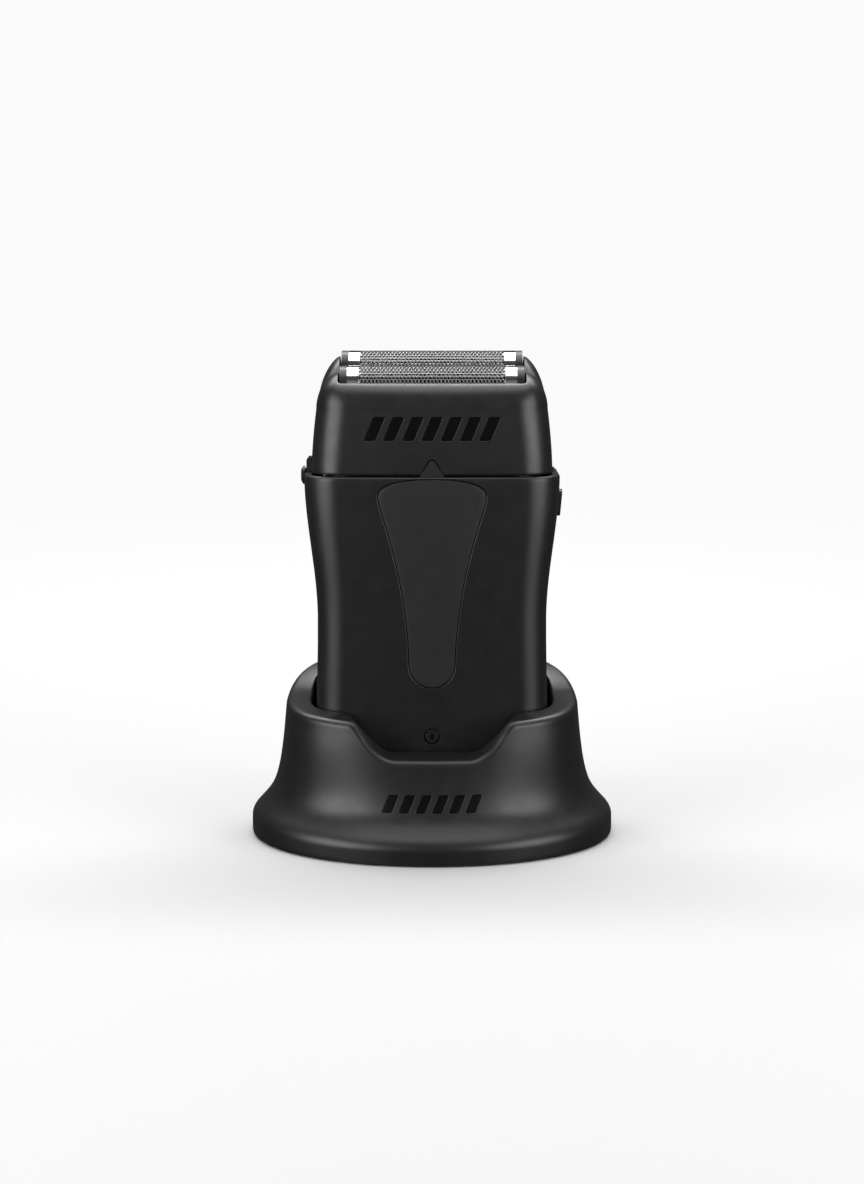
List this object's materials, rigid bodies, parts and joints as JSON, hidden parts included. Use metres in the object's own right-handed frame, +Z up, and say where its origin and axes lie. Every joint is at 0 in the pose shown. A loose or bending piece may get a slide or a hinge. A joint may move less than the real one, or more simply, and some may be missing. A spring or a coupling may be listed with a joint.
{
  "type": "foil shaver",
  "caption": "Twin-foil electric shaver with a waisted body and lift-off head, standing in a flared oval charging stand.",
  "frame": {"origin": "middle of the stand's footprint, on the surface it stands on", "axes": "+Z up through the handset, +X to the power slider's side, -Y the front with the inlay"},
  "size_m": [0.0958, 0.0796, 0.1273],
  "materials": {
    "black_shell": "fine satin black",
    "inlay": "satin, a little lighter than the body",
    "black_plastic": "plain black moulding",
    "rubber": "matte",
    "steel": "fine machined",
    "foil_steel": "polished thin sheet",
    "brass": "plated",
    "circuit_board": "solder mask",
    "copper": "enamelled copper",
    "ivory_plastic": "acetal",
    "lens": "smoked",
    "cell_sleeve": "shrink sleeve",
    "wire_sleeve": "vinyl"
  },
  "bodies": {
    "stand": {"stand_shell": "black_shell", "stand_base_plate": "black_plastic", "stand_feet": "rubber", "stand_screws": "steel", "stand_ballast": "steel", "stand_board": "circuit_board", "charge_port": "steel", "charge_port_tongue": "black_plastic", "pin_block": "black_plastic", "pin_springs": "steel"},
    "charge_pins": {"charge_pins": "brass"},
    "handset": {"front_housing": "black_shell", "rear_housing": "black_shell", "base_cap": "black_shell", "front_inlay": "inlay", "indicator_lens": "lens", "indicator_led": "ivory_plastic", "main_board": "circuit_board", "board_parts": "black_plastic", "battery_cell": "cell_sleeve", "battery_tabs": "steel", "battery_leads": "wire_sleeve", "charge_contacts": "brass", "chassis": "black_plastic", "motor_can": "steel", "motor_end_cap": "ivory_plastic", "motor_magnets": "black_plastic", "motor_bushes": "brass", "motor_leads": "wire_sleeve", "top_deck": "black_plastic", "deck_screws": "steel", "motor_screws": "steel", "deck_seal": "rubber", "bridge_flexures": "ivory_plastic", "switch_body": "black_plastic", "housing_screws": "steel", "release_spring": "steel"},
    "power_slider": {"power_slider": "black_plastic"},
    "release_button": {"release_button": "black_plastic"},
    "rotor": {"motor_shaft": "steel", "armature_core": "steel", "armature_windings": "copper", "commutator": "copper", "eccentric": "ivory_plastic"},
    "drive_bridge": {"drive_bridge": "ivory_plastic", "drive_pins": "steel", "front_cutter_spring": "steel", "rear_cutter_spring": "steel"},
    "front_cutter": {"front_cutter_blades": "steel", "front_cutter_carrier": "black_plastic"},
    "rear_cutter": {"rear_cutter_blades": "steel", "rear_cutter_carrier": "black_plastic"},
    "head": {"head_cover": "black_shell", "foil_cassette": "black_plastic", "front_foil_springs": "steel", "rear_foil_springs": "steel"},
    "front_foil_unit": {"front_foil": "foil_steel", "front_foil_holder": "black_plastic"},
    "rear_foil_unit": {"rear_foil": "foil_steel", "rear_foil_holder": "black_plastic"}
  },
  "joints": [
    {"name": "handset_lift", "type": "slide", "parent": "stand", "child": "handset", "axis": [0, 0, 1], "range_m": [0, 0.06]},
    {"name": "charge_pin_press", "type": "slide", "parent": "stand", "child": "charge_pins", "axis": [0, 0, 1], "range_m": [-0.0008, 0], "stiffness_N_per_m": 250, "deforming": ["pin_springs"]},
    {"name": "head_lift", "type": "slide", "parent": "handset", "child": "head", "axis": [0, 0, 1], "range_m": [0, 0.03]},
    {"name": "power_slide", "type": "slide", "parent": "handset", "child": "power_slider", "axis": [0.0872, 0, 0.9962], "range_m": [0, 0.002]},
    {"name": "release_press", "type": "slide", "parent": "handset", "child": "release_button", "axis": [1, 0, 0], "range_m": [0, 0.001], "stiffness_N_per_m": 400, "deforming": ["release_spring"]},
    {"name": "rotor_spin", "type": "hinge", "parent": "handset", "child": "rotor", "pos_m": [0, 0, 0.075], "axis": [0, 0, 1], "continuous": true},
    {"name": "bridge_swing", "type": "slide", "parent": "handset", "child": "drive_bridge", "axis": [1, 0, 0], "range_m": [-0.001, 0.001], "stiffness_N_per_m": 600, "deforming": ["bridge_flexures"]},
    {"name": "front_foil_float", "type": "slide", "parent": "head", "child": "front_foil_unit", "axis": [0, 0, 1], "range_m": [-0.0012, 0], "stiffness_N_per_m": 400, "deforming": ["front_foil_springs"]},
    {"name": "rear_foil_float", "type": "slide", "parent": "head", "child": "rear_foil_unit", "axis": [0, 0, 1], "range_m": [-0.0012, 0], "stiffness_N_per_m": 400, "deforming": ["rear_foil_springs"]},
    {"name": "front_cutter_float", "type": "slide", "parent": "drive_bridge", "child": "front_cutter", "axis": [0, 0, 1], "range_m": [-0.0012, 0], "deforming": ["front_cutter_spring"]},
    {"name": "rear_cutter_float", "type": "slide", "parent": "drive_bridge", "child": "rear_cutter", "axis": [0, 0, 1], "range_m": [-0.0012, 0], "deforming": ["rear_cutter_spring"]}
  ],
  "couplings": [
    {"joint": "front_cutter_float", "follows": "front_foil_float", "ratio": 1},
    {"joint": "rear_cutter_float", "follows": "rear_foil_float", "ratio": 1}
  ]
}
